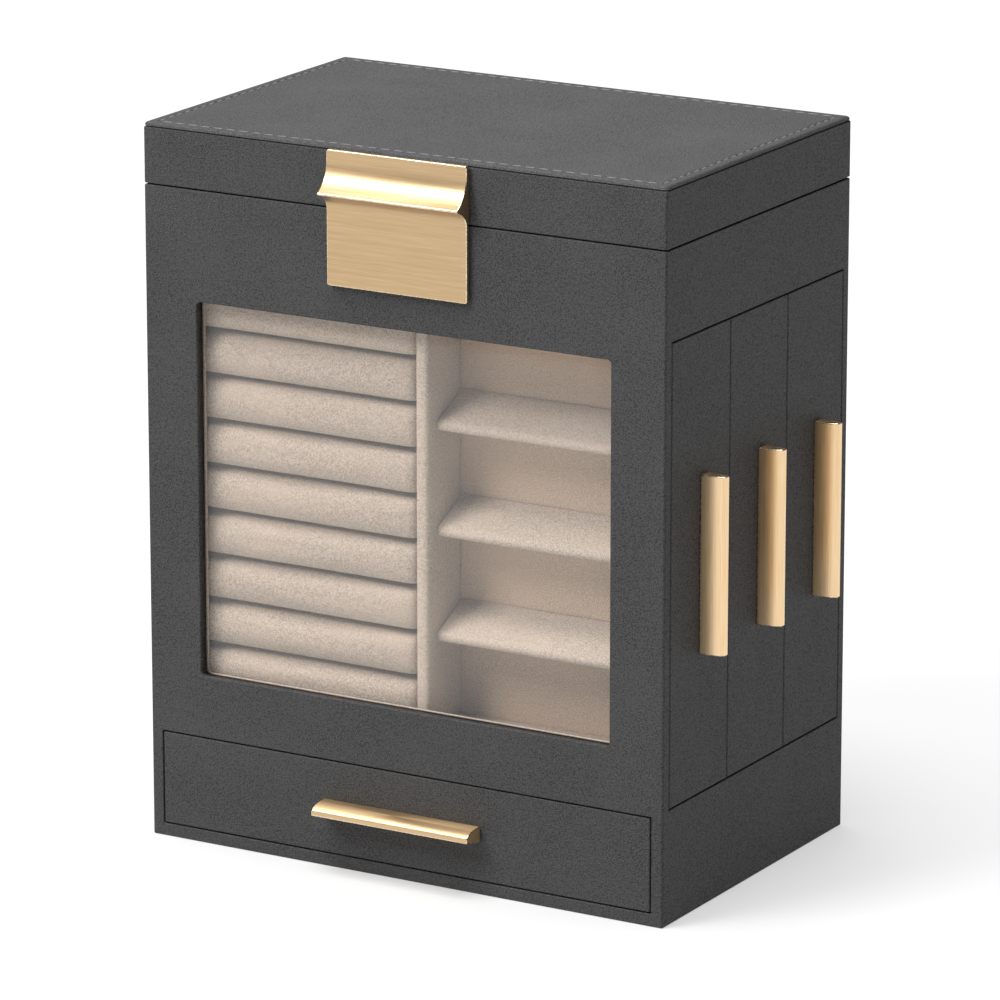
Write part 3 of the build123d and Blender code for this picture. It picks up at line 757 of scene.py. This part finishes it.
latch_outline = [out_down(0, 0), (plate_back, top_z), (plate_back, latch_lo.z),
                 (plate_face, latch_lo.z), out_down(0, SLOPE_END)]
latch_outline += bend(out_down(0, SLOPE_END), out_down(0, UNDER_CLINGS),
                      out_down(LIFT_OUT, UNDER_LIFTS), out_down(beak_out, BEAK_UNDER))
latch_outline += [out_down(beak_out, BEAK_TOP)]
latch_outline += bend(out_down(beak_out, BEAK_TOP), out_down(LIFT_OUT, TOP_LIFTS),
                      out_down(0, TOP_CLINGS), out_down(0, SLOPE_START))
latch_bm = pull_outline(latch_outline, lambda y, z: (latch_lo.x, y, z),
                        (latch_hi.x - latch_lo.x, 0, 0))


def at_plate_corner(edge):
    """Whether an edge runs straight through the plate, at its top or its foot."""
    first, second = (v.co for v in edge.verts)
    straight = abs(first.x - second.x) < WELD and abs(first.z - second.z) < WELD
    return straight and min(abs(first.z - top_z), abs(first.z - latch_lo.z)) < WELD


corners = [e for e in latch_bm.edges if at_plate_corner(e)]
bmesh.ops.bevel(latch_bm, geom=corners, offset=PLATE_CORNER_R, offset_type="OFFSET",
                affect="EDGES", segments=5, profile=0.5, material=-1)
# The rounded edges take the second slot, the cut-edge gold, which is partly a painted highlight.
round_edges(latch_bm, METAL_EDGE_R, finish=1)
latch = dress(to_object(latch_bm, "latch_handle_brushed"), GOLD_ALONG_X, "lid",
              "champagne_metal", "latch_handle")
latch.data.materials.append(CUT_EDGE_AND_HIGHLIGHT)
even_shading(latch)
print("latch handle", [round(s * 1000, 1) for s in latch.dimensions], "mm")

# %% [markdown]
# ## The pad behind the plate
# The plate stands half a millimetre off the front. On the lid it bears on a thin pad of the
# same metal, which closes the gap that would show from above.

# %% Latch pad
SEAT_INSET = 4.0 * MM
SEAT_TOP = 1.5 * MM
SEAT_FOOT = 20.0 * MM
SEAT_EDGE = 0.1 * MM

seat_bm = block_between(Vector((latch_lo.x + SEAT_INSET, plate_back, top_z - SEAT_FOOT)),
                        Vector((latch_hi.x - SEAT_INSET, -HALF_D, top_z - SEAT_TOP)))
round_edges(seat_bm, SEAT_EDGE, segments=1)
seat = dress(to_object(seat_bm, "latch_seat", smooth=False), GOLD_ALONG_X, "lid",
             "champagne_metal")
print("latch seat", [round(s * 1000, 1) for s in seat.dimensions], "mm")

# %% [markdown]
# ## Bar pulls
# The four pulls are one extrusion. From the face, one side runs straight out and then swells
# round into the front edge; the other side is flat and slants back to the face. On the tall
# drawers the swelling side looks forward, on the front drawer it looks up. The outline's points
# are shares of the bar's depth and of its width at the face.


# %% Bar pulls
def bar_outline(out, base):
    """(out, across) points of a bar's section, across counted from the swelling side."""
    foot = (0, 0)
    nose = (0.985 * out, 0.38 * base)
    swelling = bend(foot, (0.45 * out, 0), (0.90 * out, 0.08 * base), nose)
    return [foot, *swelling, (out, 0.66 * base), (0, base)]


def brushed_bar(node, points, to_start, run, material):
    bm = pull_outline(points, to_start, run)
    # The rounded edges take the second slot, the cut-edge gold, which is partly a painted
    # highlight.
    round_edges(bm, METAL_EDGE_R, finish=1)
    bar = dress(to_object(bm, node + "_brushed"), material, body_of_node(node),
                "champagne_metal", node)
    bar.data.materials.append(CUT_EDGE_AND_HIGHLIGHT)
    even_shading(bar)
    print(bar.name, [round(s * 1000, 1) for s in bar.dimensions], "mm")


for drawer in ("ring_drawer", "middle_drawer", "rear_drawer"):
    lo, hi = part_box(drawer + "_pull")
    brushed_bar(drawer + "_pull", bar_outline(hi.x - lo.x, hi.y - lo.y),
                lambda out, across: (lo.x + out, lo.y + across, lo.z), (0, 0, hi.z - lo.z),
                GOLD_ALONG_Z)
lo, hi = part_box("front_drawer_pull")
brushed_bar("front_drawer_pull", bar_outline(hi.y - lo.y, hi.z - lo.z),
            lambda out, across: (lo.x, hi.y - out, hi.z - across), (hi.x - lo.x, 0, 0),
            GOLD_SATIN_X)

# %% [markdown]
# ## Ring rolls
# A ring roll is a bar of foam in a tight velvet sleeve. Rings are pushed into the slots between
# the rolls. The sleeve is simulated: a slightly small block, its front rounded, is covered with
# an even mesh, which swells under pressure like cloth over foam. Then its front is dented a
# little, and each point is held inside the roll's own space, so that neighbours press flat
# against each other. Three different rolls are blown up and the nine are copies of those, some
# turned end for end.

# %% Stuffing
ROLL_VOXEL = 3.0 * MM
ROLL_SLACK = Vector((0.3, 0.5, 0.7)) * MM
ROLL_NOSE_R = 4.8 * MM
DENT_DEPTH = 0.35 * MM
DENT_LENGTH = 17 * MM
DENT_HEIGHT = 9 * MM
STUFFING_STEPS = 20


def baked(obj):
    """Applies an object's modifiers."""
    bpy.context.view_layer.update()
    graph = bpy.context.evaluated_depsgraph_get()
    mesh = bpy.data.meshes.new_from_object(obj.evaluated_get(graph))
    obj.modifiers.clear()
    obj.data = mesh
    return obj


def even_cover(obj, voxel):
    """Covers an object with an even mesh of squares about one voxel wide."""
    cover = obj.modifiers.new("cover", "REMESH")
    cover.mode = "VOXEL"
    cover.voxel_size = voxel
    return baked(obj)


def swell(obj, pressure, stiffness):
    """Cloth under pressure, with gravity off."""
    cloth = obj.modifiers.new("stuffing", "CLOTH")
    cloth.settings.use_pressure = True
    cloth.settings.uniform_pressure_force = pressure
    cloth.settings.tension_stiffness = stiffness
    cloth.settings.compression_stiffness = stiffness
    cloth.settings.effector_weights.gravity = 0
    cloth.settings.quality = 6
    cloth.collision_settings.use_collision = False
    cloth.point_cache.frame_start = 1
    cloth.point_cache.frame_end = STUFFING_STEPS
    for step in range(1, STUFFING_STEPS + 1):
        scene.frame_set(step)
    baked(obj)
    scene.frame_set(1)


def roll_shape(number, size):
    """The mesh of a stuffed roll of that size, its middle at the origin."""
    held = size / 2
    bm = block_between(ROLL_SLACK - held, held - ROLL_SLACK)
    long_front = [e for e in bm.edges
                  if all(v.co.y < 0 for v in e.verts) and e.verts[0].co.z == e.verts[1].co.z]
    bmesh.ops.bevel(bm, geom=long_front, offset=ROLL_NOSE_R, offset_type="OFFSET", affect="EDGES",
                    segments=6, profile=0.5, material=-1)
    roll = even_cover(to_object(bm, f"roll_shape_{number}"), ROLL_VOXEL)
    swell(roll, pressure=3.2 + 0.5 * number, stiffness=14)
    shift = random.uniform(0, 6)
    for v in roll.data.vertices:
        x, y, z = v.co
        if y < 0:
            y += (DENT_DEPTH * math.sin(x / DENT_LENGTH + shift)
                  * math.sin(z / DENT_HEIGHT + 2 * shift))
        v.co = (max(-held.x, min(held.x, x)), max(-held.y, min(held.y, y)),
                max(-held.z, min(held.z, z)))
    mesh = roll.data
    bpy.data.objects.remove(roll)
    return mesh


roll_lo, roll_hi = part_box("ring_roll_1")
roll_meshes = [roll_shape(i, roll_hi - roll_lo) for i in range(3)]
print("roll meshes:", [len(m.vertices) for m in roll_meshes])

# %% Nine rolls
for number in range(1, 10):
    node = f"ring_roll_{number}"
    lo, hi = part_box(node)
    bm = bmesh.new()
    bm.from_mesh(roll_meshes[number % 3])
    if number % 2:
        bmesh.ops.scale(bm, vec=(-1, 1, 1), verts=bm.verts)
        bmesh.ops.reverse_faces(bm, faces=bm.faces)
    bmesh.ops.translate(bm, vec=(lo + hi) / 2, verts=bm.verts)
    # The rolls wear the darker velvet, which is painted shade.
    roll = dress(to_object(bm, f"velvet_{node}"), ROLL_VELVET_PAINTED_SHADE, "ring_drawer", "velvet", node)
    finer = roll.modifiers.new("finer", "SUBSURF")
    finer.levels = finer.render_levels = 1
print("nine rolls, the first from", round(roll_lo.z * 1000, 1), "mm up")

# %% [markdown]
# ## Earring shelves, divider and raised floor
# These are shaped foam in the same velvet. Velvet over foam has no straight arris, so a copy of
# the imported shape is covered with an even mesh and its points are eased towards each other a
# few times, which rounds every edge. A slow ripple keeps a shelf from being dead flat.


# %% Velvet over foam
SHELF_VOXEL = 1.1 * MM
BLOCK_VOXEL = 1.4 * MM
SHELF_RIPPLE = 0.12 * MM
RIPPLE_ACROSS = 13 * MM
RIPPLE_UP = 21 * MM


def wrapped_foam(node, name, voxel, easings, ripple):
    foam = even_cover(to_object(welded_copy(node), name), voxel)
    bm = bmesh.new()
    bm.from_mesh(foam.data)
    for _ in range(easings):
        bmesh.ops.smooth_vert(bm, verts=bm.verts, factor=0.5, use_axis_x=True, use_axis_y=True,
                              use_axis_z=True)
    for v in bm.verts:
        v.co.y += ripple * math.sin(v.co.x / RIPPLE_ACROSS + v.co.z / RIPPLE_UP)
    bm.to_mesh(foam.data)
    bm.free()
    foam.data.shade_smooth()
    dress(foam, VELVET, body_of_node(node), "velvet", node)
    print(foam.name, len(foam.data.polygons), "faces")


for row in (1, 2, 3):
    wrapped_foam(f"earring_shelf_{row}", f"velvet_earring_shelf_{row}", SHELF_VOXEL, 3,
                 SHELF_RIPPLE)
for block in ("divider", "plinth"):
    wrapped_foam(f"ring_drawer_{block}", f"velvet_{block}", BLOCK_VOXEL, 2, 0)

# %% [markdown]
# ## Velvet-lined boards
# The drawer boxes, the top tray and its dividers, the lid's lining and the glass frame are thin
# boards in velvet. They keep their flat faces, with a soft turn at each edge.

# %% Lined boards
# The radius of each board's edges, in millimetres.
LINED = {"tray_liner": 0.9, "tray_divider_long": 0.8, "tray_divider_short": 0.8,
         "lid_lining_board": 0.5, "window_frame": 0.3, "front_drawer_tray": 0.8,
         "ring_drawer_tray": 0.9, "middle_drawer_tray": 0.9, "rear_drawer_tray": 0.9}
for node, radius in LINED.items():
    # The ring drawer's box takes the browner velvet, which is painted shade.
    pile = BOX_VELVET_PAINTED_SHADE if node == "ring_drawer_tray" else VELVET
    lined = soft_board(node, node + "_velvet", pile, "velvet", radius * MM)
    print(lined.name, len(lined.data.polygons), "faces")

# %% [markdown]
# ## The mirror
# A cut mirror has a ground bevel all round, which one wide, single-step bevel gives.

# %% Mirror
GROUND_BEVEL = 1.6 * MM
mirror_bm = round_edges(whole_faces("lid_mirror"), GROUND_BEVEL, segments=1)
mirror = dress(to_object(mirror_bm, "lid_mirror_bevelled"), MIRROR, "lid", "mirror_glass",
               "lid_mirror")
mirror.data.shade_flat()
print("mirror", [round(s * 1000, 1) for s in mirror.dimensions], "mm")

# %% [markdown]
# ## Everything else
# Hinges, screws, hook bars, glass, decks and felt are right as packed and only need a finish.

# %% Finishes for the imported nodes
BY_SLOT = {"leatherette": LEATHERETTE, "velvet": VELVET, "champagne_metal": GOLD_ALONG_X,
           "window_glass": WINDOW_GLASS, "mirror_glass": MIRROR, "hinge_steel": BRASS_PLATE,
           "magnet": MAGNET, "base_cloth": FELT}
slot_of = {s["node"]: s["material_slot"] for s in frame["record"]["subparts"]}
for node, obj in frame["nodes"].items():
    obj.data.materials.clear()
    obj.data.materials.append(BY_SLOT[slot_of[node]])
print("packed nodes shown:", sorted(n for n, o in frame["nodes"].items() if not o.hide_render))
